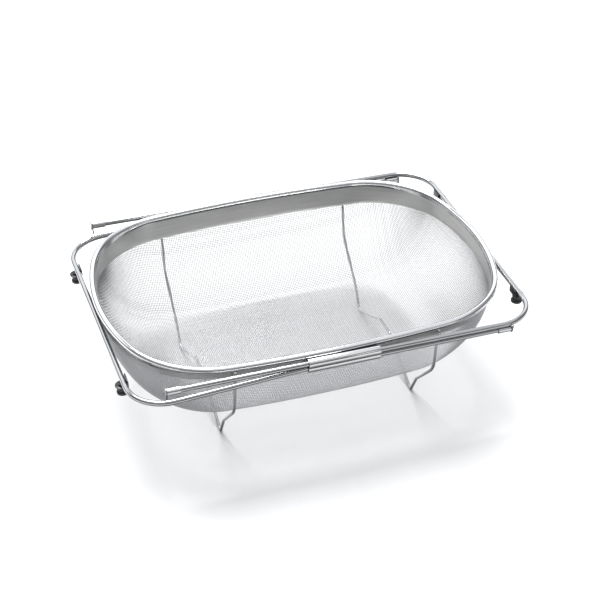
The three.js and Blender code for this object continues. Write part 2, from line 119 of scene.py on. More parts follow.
class ArmSizes(bpy.types.PropertyGroup):
    """Sliding arms, their guides, caps and feet."""

    rod: length("Rod", "Radius of the arm wire", 2.3)
    corner: length("Arm corner", "Bend radius at the arm's corners", 32)
    sink: length("Rod depth", "Bead down to the upper rods", 3.5)
    gap: length("Rod gap", "Free height between upper and lower rods", 0.4)
    inset: length("Rod inset", "How far the lower rods lie inside the upper ones", 1.3)
    tip_past: length("Rod tip", "Rod past the start of the other arm's corner", 8)
    tilt: FloatProperty(
        name="Tilt", description="Fall of the slide line to the right", default=0.012, unit="ROTATION"
    )
    sag: FloatProperty(
        name="Sag", description="Bend of the lower arm outside its guide", default=0.063, unit="ROTATION"
    )
    guide_half: length("Guide", "Half the length of a guide", 30)
    guide_sheet: length("Guide sheet", "Thickness of a guide's sheet", 0.8)
    guide_play: length("Guide play", "Room round a rod in its guide", 0.7)
    guide_flange: length("Guide flange", "Height of the flange on the basket wall", 9)
    guide_end_play: length("End play", "Guide's end to the bend of the lower arm", 1.5)
    cap_length: length("Cap", "Length of a rod cap", 12)
    cap_wall: length("Cap wall", "Wall of a rod cap", 0.6)
    fork_sheet: length("Fork", "Thickness of the forked plate", 1)
    fork_prong: length("Prong", "Width of a prong", 1.2)
    fork_play: length("Fork play", "Room round the rod in its fork", 0.3)
    fork_crown: length("Crown", "Plate outside the cap's wall", 0.6)


class FootSizes(bpy.types.PropertyGroup):
    """Tabs and rubber feet under the end rods."""

    corner_gap: length("Corner gap", "Tab to the start of the arm's corner", 4.6)
    outset: length("Outset", "Rod's centre out to the foot's centre", 1)
    sheet: length("Tab sheet", "Thickness of a tab", 1)
    width: length("Tab width", "Width of a tab", 11)
    rise: length("Tab rise", "Leaf above the rod's centre line", 1.5)
    bend: length("Tab bend", "Outer bend radius of a tab", 1.4)
    hole: length("Hole", "Radius of the hole for the foot", 2)
    flange: length("Flange", "Radius of the foot's flange", 4.75)
    flange_height: length("Flange height", "Height of the foot's flange", 2.5)
    edge: length("Edge", "Rounding of the foot's edges", 0.5)
    neck: length("Neck", "Radius of the foot's neck below its collar", 3.6)
    neck_length: length("Neck length", "Length of the foot's neck", 3.1)
    collar: length("Collar", "Radius of the foot's collar", 4.0)
    collar_height: length("Collar height", "Height of the foot's collar", 1.2)
    button: length("Button", "Radius of the foot's button", 2.7)
    button_height: length("Button height", "Height of the foot's button", 1.1)
    button_gap: length("Button gap", "Room between the button and the rod", 0.7)


class LegSizes(bpy.types.PropertyGroup):
    """Bent leg wires under the basket."""

    wire: length("Leg wire", "Radius of the leg wire", 1.4)
    half_spacing: length("Half spacing", "Middle of the basket to a leg wire", 85.8)
    top: length("Top", "Straight run below the bead", 5)
    knee_off: length("Knee", "Basket wall out to the knee", 17)
    knee_height: length("Knee height", "Table to the knee", 54)
    shin: length("Shin", "Run inwards from knee to ankle", 33)
    ankle_drop: length("Ankle", "Floor of the basket down to the ankle", 6)
    heel: length("Heel", "Run inwards from ankle to tip", 12.5)
    tip_flat: length("Tip", "Length of the flat tip", 4)
    floor_out: length("Floor run", "Middle of the basket to the end of the rise", 12)
    bend: length("Bend", "Bend radius of the leg wire", 9)
    knee_bend: length("Knee bend", "Bend radius at the knee", 28)
    tip_bend: length("Tip bend", "Bend radius at the tip", 2.4)


class Finishes(bpy.types.PropertyGroup):
    """Colours and finishes."""

    bead_colour: colour("Bead", "Colour of the polished bead", (0.80, 0.805, 0.81))
    band_colour: colour("Band", "Colour of the brushed band", (0.72, 0.72, 0.70))
    cloth_colour: colour("Cloth", "Colour of the woven wire", (0.43, 0.435, 0.445))
    arm_colour: colour("Arm wire", "Colour of the arms", (0.50, 0.505, 0.51))
    leg_colour: colour("Leg wire", "Colour of the legs", (0.76, 0.765, 0.77))
    guide_colour: colour("Guide", "Colour of guides and caps", (0.78, 0.785, 0.79))
    fork_colour: colour("Fork", "Colour of the caps' forked plates", (0.26, 0.26, 0.27))
    # Painted shade: the tabs' steel is tinted near black to stand in for the tabs seen in shade
    tab_shade_colour: colour("Tab", "Colour of the dark steel tabs", (0.05, 0.05, 0.053))
    rubber_colour: colour("Rubber", "Colour of the feet", (0.012, 0.012, 0.013))
    floor_colour: colour("Floor", "Colour of the floor", (0.92, 0.92, 0.92))


class ColanderSettings(bpy.types.PropertyGroup):
    """All sizes and finishes of the colander."""

    rim: PointerProperty(type=RimSizes)
    basket: PointerProperty(type=BasketSizes)
    arms: PointerProperty(type=ArmSizes)
    feet: PointerProperty(type=FootSizes)
    legs: PointerProperty(type=LegSizes)
    finish: PointerProperty(type=Finishes)


def settings(*names):
    """Groups of sizes and finishes by name."""
    return [getattr(bpy.context.scene.colander, name) for name in names]


def basket_inset():
    """How far the outside of the woven cloth lies inside the bead's centre line."""
    rim, basket = settings("rim", "basket")
    return rim.bead - rim.sheet - rim.clearance - basket.sheet


# Shader maths: an expression wraps a socket, and its operators add Math nodes to the same tree


class Expression:
    def __init__(self, graph, socket):
        self.graph = graph
        self.socket = socket

    def math(self, operation, *others):
        return self.graph.node("ShaderNodeMath", {"operation": operation}, dict(enumerate((self, *others))))

    def __add__(self, other):
        return self.math("ADD", other)

    def __sub__(self, other):
        return self.math("SUBTRACT", other)

    def __rsub__(self, other):
        return self.graph.node("ShaderNodeMath", {"operation": "SUBTRACT"}, {0: other, 1: self})

    def __mul__(self, other):
        return self.math("MULTIPLY", other)

    def __pow__(self, other):
        return self.math("POWER", other)

    __radd__ = __add__
    __rmul__ = __mul__

    def spread(self, width):
        """A noise between 0 and 1 as a change up or down, the width from its least to its most."""
        return (self - 0.5) * width

    def clamped(self):
        return self.math("MINIMUM", 1.0).math("MAXIMUM", 0.0)

    def below(self, edge, softness):
        """1 where the value lies under the edge, fading over the softness."""
        return ((edge - self) * (1 / softness) + 0.5).clamped()


class Graph:
    """Node tree of a material, the world or a Geometry Nodes modifier."""

    def __init__(self, tree):
        self.tree = tree
        self.tree.nodes.clear()

    def node(self, kind, setup=None, sockets=None, out=0):
        """Adds a node with its settings and the values or links of its sockets, and gives one output."""
        made = self.tree.nodes.new(kind)
        for key, value in (setup or {}).items():
            if key == "stops":
                self.ramp(made.color_ramp, value)
            else:
                setattr(made, key, value)
        for key, value in (sockets or {}).items():
            if isinstance(value, Expression):
                self.tree.links.new(value.socket, made.inputs[key])
            else:
                made.inputs[key].default_value = value
        return Expression(self, made.outputs[out]) if made.outputs else made

    @staticmethod
    def ramp(band, stops):
        while len(band.elements) < len(stops):
            band.elements.new(1)
        for element, (place, value) in zip(band.elements, stops):
            element.position = place
            element.color = (value, value, value, 1) if isinstance(value, float) else (*value, 1)

    def blend(self, factor, first, second):
        """Colour between two colours."""
        sockets = {"Factor": factor, 6: (*first, 1), 7: (*second, 1)}
        return self.node("ShaderNodeMix", {"data_type": "RGBA"}, sockets, 2)

    def place(self):
        return self.node("ShaderNodeTexCoord", None, None, 3)

    def noise(self, source, scale, detail=2.0, roughness=0.5):
        sockets = {"Vector": source, "Scale": scale, "Detail": detail, "Roughness": roughness}
        return self.node("ShaderNodeTexNoise", {"noise_dimensions": "3D"}, sockets)

    def grain(self, source, stretch, detail, roughness=0.5):
        """Noise drawn out by a stretch for each axis."""
        stretched = self.node("ShaderNodeMapping", None, {"Vector": source, "Scale": stretch})
        return self.noise(stretched, 1.0, detail, roughness)

    def bump(self, height, strength, distance):
        sockets = {"Height": height, "Strength": strength, "Distance": distance}
        return self.node("ShaderNodeBump", None, sockets)

    def surface(self, **sockets):
        named = {key.replace("_", " "): value for key, value in sockets.items()}
        shader = self.node("ShaderNodeBsdfPrincipled", None, named)
        self.node("ShaderNodeOutputMaterial", None, {"Surface": shader})


def material(name):
    made = bpy.data.materials.new(name)
    made.use_nodes = True
    return made, Graph(made.node_tree)


def toned(tint, share_of_tint):
    return tuple(min(1, share_of_tint * channel) for channel in tint)


def brushed_steel(name, tint, roughness, line_strength):
    """Sheet with grain lines along the strip, read from the strip's own map."""
    dark, light = toned(tint, 0.80), toned(tint, 1.14)
    line_stretch, streak_stretch, cloud_stretch = (14, 5200, 1), (30, 700, 1), (16, 60, 1)
    line_share, streak_share, cloud_share = 0.45, 0.35, 0.2
    contrast, contrast_shift = 2.4, -0.7
    streak_roughness, cloud_roughness, line_depth = 0.16, 0.08, 0.2 * MM
    made, graph = material(name)
    place = graph.node("ShaderNodeUVMap", {"uv_map": "strip"})
    lines = graph.grain(place, line_stretch, detail=4.0, roughness=0.6)
    streaks = graph.grain(place, streak_stretch, detail=3.0, roughness=0.55)
    clouds = graph.grain(place, cloud_stretch, detail=2.0)
    mixed = lines * line_share + streaks * streak_share + clouds * cloud_share
    shade = mixed.math("MULTIPLY_ADD", contrast, contrast_shift).clamped()
    graph.surface(
        Base_Color=graph.blend(shade, dark, light),
        Metallic=1.0,
        Roughness=roughness + streaks.spread(streak_roughness) + clouds.spread(cloud_roughness),
        Normal=graph.bump(lines * 0.6 + streaks * 0.4, line_strength, line_depth),
    )
    return made


def polished_steel(name, tint, roughness, underside=0.12):
    """Polished wire or sheet with faint drawing marks, and painted shade darkening it where it faces down.
    """
    patch_scale, mark_scale, mark_strength, mark_depth = 55.0, 900.0, 0.05, 0.1 * MM
    shade_rate, shade_level, shade_patches = 1.5, 0.45, 0.3
    patch_roughness, mark_roughness = 0.08, 0.04
    made, graph = material(name)
    patches = graph.noise(graph.place(), patch_scale, detail=3.0)
    marks = graph.noise(graph.place(), mark_scale)
    upward = graph.node("ShaderNodeAttribute", {"attribute_name": "upward"}, None, 2)
    # Painted shade: where a piece faces down, its colour falls to the underside share of the tint, varied
    # by random patches
    unshaded = (upward * shade_rate + shade_level + patches.spread(shade_patches)).clamped()
    graph.surface(
        Base_Color=graph.blend(unshaded, toned(tint, underside), tint),
        Metallic=1.0,
        Roughness=roughness + patches.spread(patch_roughness) + marks.spread(mark_roughness),
        Normal=graph.bump(marks, mark_strength, mark_depth),
    )
    return made


def woven_steel(name, tint):
    """Bright drawn wire of the cloth."""
    patch_scale, dull, roughness, patch_roughness = 38.0, toned(tint, 0.86), 0.34, 0.12
    made, graph = material(name)
    patches = graph.noise(graph.place(), patch_scale, detail=3.0)
    graph.surface(
        Base_Color=graph.blend(patches, dull, tint),
        Metallic=1.0,
        Roughness=roughness + patches.spread(patch_roughness),
    )
    return made


def black_rubber(name, tint):
    """Moulded rubber with a fine grain and some pale wear."""
    pale, wear_scale, wear_sharpness = toned(tint, 4.0), 260.0, 3.0
    grain_scale, grain_strength, grain_depth = 1600.0, 0.25, 0.1 * MM
    roughness, grain_roughness = 0.52, 0.2
    made, graph = material(name)
    grain = graph.noise(graph.place(), grain_scale, detail=3.0)
    wear = graph.noise(graph.place(), wear_scale, detail=4.0)
    graph.surface(
        Base_Color=graph.blend(wear**wear_sharpness, tint, pale),
        Roughness=roughness + grain.spread(grain_roughness),
        Normal=graph.bump(grain, grain_strength, grain_depth),
    )
    return made


# Shapes of the mouth and the basket


ARCS = ("end", "corner", "side")


def arc_centres(end_inset, side_inset, corner):
    """Centre and radius of each arc in the first quarter of an oval, and the angles where they meet."""
    (rim,) = settings("rim")
    end_radius = rim.end_bow - end_inset
    side_radius = rim.side_bow - side_inset
    end_x = rim.half_length - end_inset - end_radius
    side_y = rim.half_width - side_inset - side_radius
    span = math.hypot(end_x, side_y)
    from_side = side_radius - corner
    from_end = end_radius - corner
    along = (from_side**2 - from_end**2 + span**2) / (2 * span)
    across = math.sqrt(from_side**2 - along**2)
    towards = np.array([end_x, -side_y]) / span
    middle = np.array([0, side_y]) + along * towards + across * np.array([towards[1], -towards[0]])
    end_angle = math.atan2(middle[1], middle[0] - end_x)
    side_angle = math.atan2(middle[1] - side_y, middle[0])
    return {
        "end": (np.array([end_x, 0.0]), end_radius),
        "corner": (middle, corner),
        "side": (np.array([0.0, side_y]), side_radius),
        "bounds": (0.0, end_angle, side_angle, math.pi / 2),
    }


def oval_points(arcs, places, height):
    """Points of one oval. A place counts quarters of the oval: in each, the arcs of the end, the corner and
    the side take a third of the way."""
    quarter, way = np.divmod(places, 1)
    way = np.where(quarter % 2 == 1, 1 - way, way) * len(ARCS)
    angle = np.interp(way, range(len(ARCS) + 1), arcs["bounds"])
    kind = np.minimum(way.astype(int), len(ARCS) - 1)
    centres, radii = (np.array([arcs[k][part] for k in ARCS])[kind] for part in (0, 1))
    flat = centres + radii[:, None] * np.stack([np.cos(angle), np.sin(angle)], -1)
    left = (quarter == 1) | (quarter == 2)
    flat *= np.stack([np.where(left, -1, 1), np.where(quarter >= 2, -1, 1)], -1)
    return np.column_stack([flat + (MIDDLE_X, 0), np.full(len(places), height)])


def round_places(end_steps, corner_steps, side_steps):
    """Places all the way round, closer together where the oval bends most."""
    thirds = [
        np.linspace(i, i + 1, steps, endpoint=False) / 3
        for i, steps in enumerate((end_steps, corner_steps, side_steps))
    ]
    quarter = np.concatenate(thirds)
    half = np.concatenate([quarter, [1], 2 - quarter[:0:-1]])
    return np.concatenate([half, half + 2])


def end_floor_radius():
    rim, basket = settings("rim", "basket")
    room = rim.height - rim.band_depth - basket.floor_height - basket.end_wall_run
    return room / (1 - math.sin(math.atan(basket.end_slope)))


def wall_inset(top_inset, slope, floor_radius, floor, height):
    """How far in a wall lies at a height: a straight slope that a radius rounds off into the floor."""
    (rim,) = settings("rim")
    lean = math.atan(slope)
    bend = floor + floor_radius * (1 - math.sin(lean))
    if height >= bend:
        return top_inset + slope * (rim.height - height)
    centre = top_inset + slope * (rim.height - bend) + floor_radius * math.cos(lean)
    below = min(floor_radius, floor + floor_radius - height)
    return centre - math.sqrt(floor_radius**2 - below**2)


def wall_corner(top_inset, height):
    rim, basket = settings("rim", "basket")
    depth = (rim.height - height) / (rim.height - basket.floor_height)
    shrunk = rim.corner + (basket.floor_corner - rim.corner) * depth
    return shrunk + basket.corner_swell * depth * (1 - depth) ** 3 - top_inset


# Meshes


def in_scene(name, data):
    made = bpy.data.objects.new(name, data)
    bpy.context.scene.collection.objects.link(made)
    return made


def new_object(name, points, faces, edges=()):
    mesh = bpy.data.meshes.new(name)
    mesh.from_pydata([tuple(p) for p in points], list(edges), [tuple(f) for f in faces])
    mesh.update()
    return in_scene(name, mesh)


@contextmanager
def edited(mesh):
    work = bmesh.new()
    work.from_mesh(mesh)
    yield work
    work.to_mesh(mesh)
    work.free()


def face_out(obj):
    """Turns a closed mesh's faces so that its volume is positive."""
    with edited(obj.data) as work:
        if work.calc_volume(signed=True) < 0:
            bmesh.ops.reverse_faces(work, faces=work.faces)


def smooth(obj, degrees=40):
    """Smooth shading, with a crease where faces meet at more than the angle."""
    with edited(obj.data) as work:
        for f in work.faces:
            f.smooth = True
        for e in work.edges:
            e.smooth = len(e.link_faces) == 2 and e.calc_face_angle(0) < math.radians(degrees)


def evaluated(obj):
    graph = bpy.context.evaluated_depsgraph_get()
    return bpy.data.meshes.new_from_object(obj.evaluated_get(graph), depsgraph=graph)


def settle(obj):
    """Makes what the object's modifiers give its plain mesh."""
    mesh, old = evaluated(obj), obj.data
    obj.modifiers.clear()
    obj.data = mesh
    bpy.data.meshes.remove(old)
    mesh.name = obj.name
    return obj


def lofted(name, rings):
    """Closed surface through rings of equal count, the last joined to the first.

    Its map runs along the rings and across them.
    """
    count = len(rings[0])
    around = np.linalg.norm(np.roll(rings[0], -1, 0) - rings[0], axis=1)
    along = np.concatenate([[0], np.cumsum(around)])
    steps = [np.linalg.norm(b - a, axis=1).mean() for a, b in zip(rings, rings[1:] + rings[:1])]
    across = np.concatenate([[0], np.cumsum(steps)])
    faces, map_points = [], []
    for i in range(len(rings)):
        here, there = i * count, (i + 1) % len(rings) * count
        for j in range(count):
            k = (j + 1) % count
            faces.append((here + j, here + k, there + k, there + j))
            map_points += [(along[j + a], across[i + b]) for a, b in ((0, 0), (1, 0), (1, 1), (0, 1))]
    made = new_object(name, np.concatenate(rings), faces)
    layer = made.data.uv_layers.new(name="strip")
    layer.data.foreach_set("uv", np.array(map_points, np.float32).ravel())
    return made


def turned(name, profile, sides, matrix):
    """Solid turned round its own Z axis from (radius, height) pairs that start and end on the axis."""
    points = [(0, 0, profile[0][1]), (0, 0, profile[-1][1])]
    inner = profile[1:-1]
    for radius, height in inner:
        for i in range(sides):
            a = 2 * math.pi * i / sides
            points.append((radius * math.cos(a), radius * math.sin(a), height))
    faces = []
    last = 2 + (len(inner) - 1) * sides
    for i in range(sides):
        k = (i + 1) % sides
        faces.append((0, 2 + k, 2 + i))
        faces.append((1, last + i, last + k))
        for ring in range(len(inner) - 1):
            a, b = 2 + ring * sides, 2 + (ring + 1) * sides
            faces.append((a + i, a + k, b + k, b + i))
    made = new_object(name, points, faces)
    made.data.transform(matrix)
    face_out(made)
    return made


def plate(name, outlines, depth, bevel, matrix):
    """Flat outlines, the holes among them, given a thickness and softened edges. Its middle is at 0."""
    curve = bpy.data.curves.new(name, "CURVE")
    curve.dimensions = "2D"
    curve.fill_mode = "BOTH"
    curve.extrude = depth / 2 - bevel
    curve.bevel_depth = bevel
    curve.bevel_resolution = 1
    curve.offset = -bevel
    for outline in outlines:
        spline = curve.splines.new("POLY")
        spline.points.add(len(outline) - 1)
        spline.points.foreach_set("co", np.array([(x, y, 0, 1) for x, y in outline], float).ravel())
        spline.use_cyclic_u = True
    made = in_scene(name, curve)
    mesh = evaluated(made)
    bpy.data.objects.remove(made)
    bpy.data.curves.remove(curve)
    mesh.transform(matrix)
    with edited(mesh) as work:
        bmesh.ops.remove_doubles(work, verts=work.verts, dist=1e-7)
        bmesh.ops.recalc_face_normals(work, faces=work.faces)
    solid = in_scene(name, mesh)
    face_out(solid)
    return solid


def combined(first, second, operation):
    """First object joined with, cut by or kept inside the second, which is used up."""
    modifier = first.modifiers.new(operation.lower(), "BOOLEAN")
    modifier.operation = operation
    modifier.solver = "EXACT"
    modifier.object = second
    settle(first)
    bpy.data.objects.remove(second)
    return first


def arc(centre, radius, start, end, steps):
    """Points of an arc in a plane, both ends included."""
    return [
        (centre[0] + radius * math.cos(a), centre[1] + radius * math.sin(a))
        for a in np.linspace(start, end, steps + 1)
    ]


def mark_upward(obj):
    """Keeps how far each point of a piece faces up, for the painted shade on its underside."""
    mesh = obj.data
    normals = np.empty(len(mesh.vertices) * 3, np.float32)
    mesh.vertex_normals.foreach_get("vector", normals)
    mesh.attributes.new("upward", "FLOAT", "POINT").data.foreach_set("value", normals[2::3].copy())


def dressed(obj, body, node, look=None):
    """Gives a finished piece its body, the solid that it stands for and its material."""
    mark_upward(obj)
    if look:
        obj.data.materials.clear()
        obj.data.materials.append(look)
    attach(obj, body)
    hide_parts(node)


def aimed(obj, place, back):
    """Puts a lamp or camera at a place with its back to a direction."""
    obj.location = place
    obj.rotation_mode = "QUATERNION"
    obj.rotation_quaternion = (-back).to_track_quat("-Z", "Y")


# Geometry Nodes: wire along lines


def wire_tree(name, woven):
    """Tree that turns lines into wire. Woven wire is first lifted where it crosses another."""
    tree = bpy.data.node_groups.new(name, "GeometryNodeTree")
    kinds = {
        "Geometry": "Geometry",
        "Radius": "Float",
        "Sides": "Int",
        "Lift": "Float",
        "Finish": "Material",
    }
    for label, kind in kinds.items():
        tree.interface.new_socket(label, in_out="INPUT", socket_type="NodeSocket" + kind)
    tree.interface.new_socket("Geometry", in_out="OUTPUT", socket_type="NodeSocketGeometry")
    graph = Graph(tree)
    given = {label: graph.node("NodeGroupInput", None, None, label) for label in kinds}
    lines = given["Geometry"]
    if woven:
        kind, sockets = {"data_type": "FLOAT_VECTOR"}, {"Name": "crossing"}
        crossing = graph.node("GeometryNodeInputNamedAttribute", kind, sockets, "Attribute")
        sockets = {0: crossing, "Scale": given["Lift"]}
        rise = graph.node("ShaderNodeVectorMath", {"operation": "SCALE"}, sockets)
        lines = graph.node("GeometryNodeSetPosition", None, {"Geometry": lines, "Offset": rise})
    path = graph.node("GeometryNodeMeshToCurve", None, {"Mesh": lines})
    sockets = {"Resolution": given["Sides"], "Radius": given["Radius"]}
    section = graph.node("GeometryNodeCurvePrimitiveCircle", None, sockets)
    sockets = {"Curve": path, "Profile Curve": section, "Fill Caps": True}
    sweep = graph.node("GeometryNodeCurveToMesh", None, sockets)
    real = graph.node("GeometryNodeRealizeInstances", None, {"Geometry": sweep})
    finish = graph.node("GeometryNodeSetMaterial", None, {"Geometry": real, "Material": given["Finish"]})
    graph.node("NodeGroupOutput", None, {"Geometry": finish})
    return tree


def grown(obj, tree, **values):
    """Runs a tree on the object with its inputs set, and keeps the plain result."""
    modifier = obj.modifiers.new(tree.name, "NODES")
    modifier.node_group = tree
    for item in tree.interface.items_tree:
        if item.in_out == "INPUT" and item.name in values:
            modifier[item.identifier] = values[item.name]
    return settle(obj)


def line_object(name, lines):
    """Mesh of open lines, each a list of points."""
    edges, start = [], 0
    for line in lines:
        edges += [(i, i + 1) for i in range(start, start + len(line) - 1)]
        start += len(line)
    return new_object(name, np.concatenate([np.asarray(line) for line in lines]), [], edges)


def bent_line(corners, step):
    """Points along straight runs between corners, each given as (point, bend radius).

    A bend has a point at least once in each step of its turn.
    """
    points = [Vector(corners[0][0])]
    for i in range(1, len(corners) - 1):
        here = Vector(corners[i][0])
        before = (here - Vector(corners[i - 1][0])).normalized()
        after = (Vector(corners[i + 1][0]) - here).normalized()
        turn = before.angle(after)
        if turn < 1e-6:
            continue
        radius = corners[i][1]
        axis = before.cross(after).normalized()
        start = here - before * radius * math.tan(turn / 2)
        centre = start + axis.cross(before) * radius
        steps = max(2, math.ceil(turn / step))
        for k in range(steps + 1):
            spin = Matrix.Rotation(turn * k / steps, 3, axis)
            points.append(centre + spin @ (start - centre))
    points.append(Vector(corners[-1][0]))
    return points


def straight_fill(points, longest):
    """Extra points on long straight runs, so that shading stays even along them."""
    filled = [points[0]]
    for a, b in zip(points, points[1:]):
        parts = max(1, math.ceil((b - a).length / longest))
        filled += [a.lerp(b, k / parts) for k in range(1, parts + 1)]
    return filled


def bent_wire(name, corners, radius, look, sides):
    """One bent wire made by the tree for wires."""
    bend_step, longest_run = math.radians(4), 12 * MM
    tree = bpy.data.node_groups.get("bent_wire") or wire_tree("bent_wire", False)
    line = line_object(name, [straight_fill(bent_line(corners, bend_step), longest_run)])
    made = grown(line, tree, Radius=radius, Sides=sides, Lift=0.0, Finish=look)
    face_out(made)
    smooth(made)
    return made


# Pieces


class COLANDER_OT_rim(bpy.types.Operator):
    """Rolled bead and the brushed band below it, one strip of sheet."""

    bl_idname = "colander.rim"
    bl_label = "Rim"

    # Steps round the end, corner and side of each quarter, up the band, round the bead and over an edge
    ROUND_STEPS = (14, 44, 14)
    BAND_STEPS = 8
    BEAD_STEPS = (25, 33)
    EDGE_STEPS = 4
    # Where the bead's curl ends, below the level of its centre line
    CURL_END = math.radians(-100)

    def execute(self, context):
        rim, basket, finish = settings("rim", "basket", "finish")
        places = round_places(*self.ROUND_STEPS)
        half = rim.sheet / 2
        inner = rim.bead - rim.sheet
        middle = rim.bead - half
        bottom = rim.height - rim.band_depth + half

        def band_ring(top_inset, height):
            depth = rim.height - height
            ends = top_inset + basket.end_slope * depth
            sides = top_inset + basket.side_slope * depth
            return oval_points(arc_centres(ends, sides, wall_corner(top_inset, height)), places, height)

        def curl_ring(radius, angle):
            inset = -radius * math.cos(angle)
            height = rim.height + radius * math.sin(angle)
            return oval_points(arc_centres(inset, inset, rim.corner - inset), places, height)

        inner_curl, outer_curl = (np.linspace(math.pi, self.CURL_END, n + 1) for n in self.BEAD_STEPS)
        climb = np.linspace(bottom, rim.height, self.BAND_STEPS + 1)[:-1]
        edge = arc((0, 0), half, 0, math.pi, self.EDGE_STEPS)[1:-1]
        inside = [band_ring(inner, h) for h in climb]
        bead = [curl_ring(inner, a) for a in inner_curl]
        bead += [curl_ring(middle + off, self.CURL_END - past / middle) for off, past in edge[::-1]]
        bead += [curl_ring(rim.bead, a) for a in outer_curl[::-1]]
        outside = [band_ring(rim.bead, h) for h in climb[::-1]]
        outside += [band_ring(middle + off, bottom - past) for off, past in edge]
        strip = lofted("rim", inside + bead + outside)
        face_out(strip)
        smooth(strip)
        band_look = brushed_steel("brushed band", finish.band_colour, roughness=0.34, line_strength=0.35)
        strip.data.materials.append(band_look)
        strip.data.materials.append(polished_steel("polished bead", finish.bead_colour, roughness=0.08))
        rolled = np.repeat([0, 1, 0], [len(part) * len(places) for part in (inside, bead, outside)])
        strip.data.polygons.foreach_set("material_index", rolled.astype(np.int32))
        dressed(strip, "basket", "rim_band")
        return {"FINISHED"}


class Cloth:
    """Square-woven cloth pressed into the tub. Its wires keep their spacing, so the meshes shear to
    diamonds over the corners."""

    # The tub's wall is kept as a table: places round a quarter by steps up the wall from the floor. It goes
    # on past the top edge, so that the net can be worked out over it
    STEP = 0.5 * MM
    SPARE = 12 * MM
    SPARE_USED = 0.8
    PLACES = np.linspace(0, 1, 361)
    CLIMB = np.linspace(0, 1, 141) ** 2
    SPARE_LEVELS = np.linspace(0, 1, 9)[1:]
    NEWTON_ROUNDS = 7
    SINGULAR = 1e-9
    MISS_ALLOWED = 0.05

    def __init__(self):
        rim, basket = settings("rim", "basket")
        half = basket.sheet / 2
        top_inset = basket_inset() + half
        top = rim.height - rim.clearance - half
        self.floor = basket.floor_height + half

        def arcs_at(height):
            ends = wall_inset(top_inset, basket.end_slope, end_floor_radius() - half, self.floor, height)
            sides = wall_inset(
                top_inset, basket.side_slope, basket.side_floor_radius - half, self.floor, height
            )
            return arc_centres(ends, sides, wall_corner(top_inset, height))

        self.outline = arcs_at(self.floor)
        climb = self.floor + (top - self.floor) * self.CLIMB
        heights = np.concatenate([climb, top + self.SPARE * self.SPARE_LEVELS])
        levels = np.stack([oval_points(arcs_at(h), self.PLACES, h) for h in heights], 1)
        levels[:, :, 0] -= MIDDLE_X
        steps = np.linalg.norm(np.diff(levels, axis=1), axis=2)
        ways = np.concatenate([np.zeros((len(levels), 1)), np.cumsum(steps, 1)], 1)
        self.reach = ways[:, len(climb) - 1]
        self.columns = int(ways[:, -1].min() / self.STEP)
        even = np.arange(self.columns) * self.STEP
        spaced = [[np.interp(even, way, axis) for axis in level.T] for way, level in zip(ways, levels)]
        self.table = np.ascontiguousarray(np.swapaxes(spaced, 1, 2))

    def place(self, flat):
        """Points of the tub for places on a flat sheet, and how far each lies past the tub's top edge.

        The sheet is level on the floor and climbs the walls along the normals of the floor's outline.
        """
        signs = np.where(flat < 0, -1.0, 1.0)
        at = np.abs(flat)
        around, way = np.zeros(len(at)), np.zeros(len(at))
        for third, kind in enumerate(ARCS):
            centre, radius = self.outline[kind]
            low, high = self.outline["bounds"][third : third + 2]
            away = at - centre
            angle = np.arctan2(away[:, 1], away[:, 0])
            past = np.hypot(away[:, 0], away[:, 1]) - radius
            hit = (angle >= low) & (angle <= high) & (past > 0)
            around = np.where(hit, (third + (angle - low) / (high - low)) / len(ARCS), around)
            way = np.where(hit, past, way)
        row = around * (len(self.PLACES) - 1)
        # A way past the table's end stays in its last cell
        column = np.minimum(way / self.STEP, self.columns - 1.001)
        r = np.minimum(row.astype(int), len(self.PLACES) - 2)
        c = column.astype(int)
        row_part, column_part = (row - r)[:, None], (column - c)[:, None]
        near, far = (
            self.table[r, c + k] * (1 - row_part) + self.table[r + 1, c + k] * row_part for k in (0, 1)
        )
        wall = near * (1 - column_part) + far * column_part
        ground = np.column_stack([at, np.full(len(at), self.floor)])
        points = np.where((way > 0)[:, None], wall, ground)
        points[:, :2] *= signs
        return points, way - np.interp(around, self.PLACES, self.reach)

    def slopes(self, flat):
        """How the points of the tub move with each of the two flat directions."""
        small = 0.1 * MM
        return [
            (self.place(flat + step)[0] - self.place(flat - step)[0]) / (2 * small)
            for step in (np.array([small, 0]), np.array([0, small]))
        ]

    def quarter_net(self, pitch):
        """Flat places of the crossings in one quarter, each one pitch from its two neighbours before it."""
        (end_centre, end_radius), (side_centre, side_radius) = self.outline["end"], self.outline["side"]
        rows = int((self.reach[0] + end_centre[0] + end_radius + self.SPARE) / pitch)
        columns = int((self.reach[-1] + side_centre[1] + side_radius + self.SPARE) / pitch)
        net = np.full((rows, columns, 2), np.nan)
        net[:, 0] = np.column_stack([np.arange(rows) * pitch, np.zeros(rows)])
        net[0, :] = np.column_stack([np.zeros(columns), np.arange(columns) * pitch])
        for diagonal in range(2, rows + columns - 1):
            i = np.arange(max(1, diagonal - columns + 1), min(rows, diagonal))
            j = diagonal - i
            before = net[i - 1, j], net[i, j - 1]
            guess = before[0] + before[1] - net[i - 1, j - 1]
            live = np.isfinite(guess).all(1)
            if not live.any():
                continue
            i, j, flat = i[live], j[live], guess[live]
            anchors = [self.place(b[live])[0] for b in before]
            for _ in range(self.NEWTON_ROUNDS):
                here = self.place(flat)[0]
                along = self.slopes(flat)
                miss = [((here - a) ** 2).sum(1) - pitch**2 for a in anchors]
                (a, b), (c, d) = ([2 * ((here - at) * way).sum(1) for way in along] for at in anchors)
                spread = a * d - b * c
                spread = np.where(np.abs(spread) < self.SINGULAR, self.SINGULAR, spread)
                move = np.stack([miss[0] * d - miss[1] * b, miss[1] * a - miss[0] * c], -1)
                flat = flat - np.clip(move / spread[:, None], -pitch / 2, pitch / 2)
            past = self.place(flat)[1]
            close = np.abs(miss).max(0) < self.MISS_ALLOWED * pitch**2
            good = close & (past < self.SPARE * self.SPARE_USED)
            net[i[good], j[good]] = flat[good]
        return net

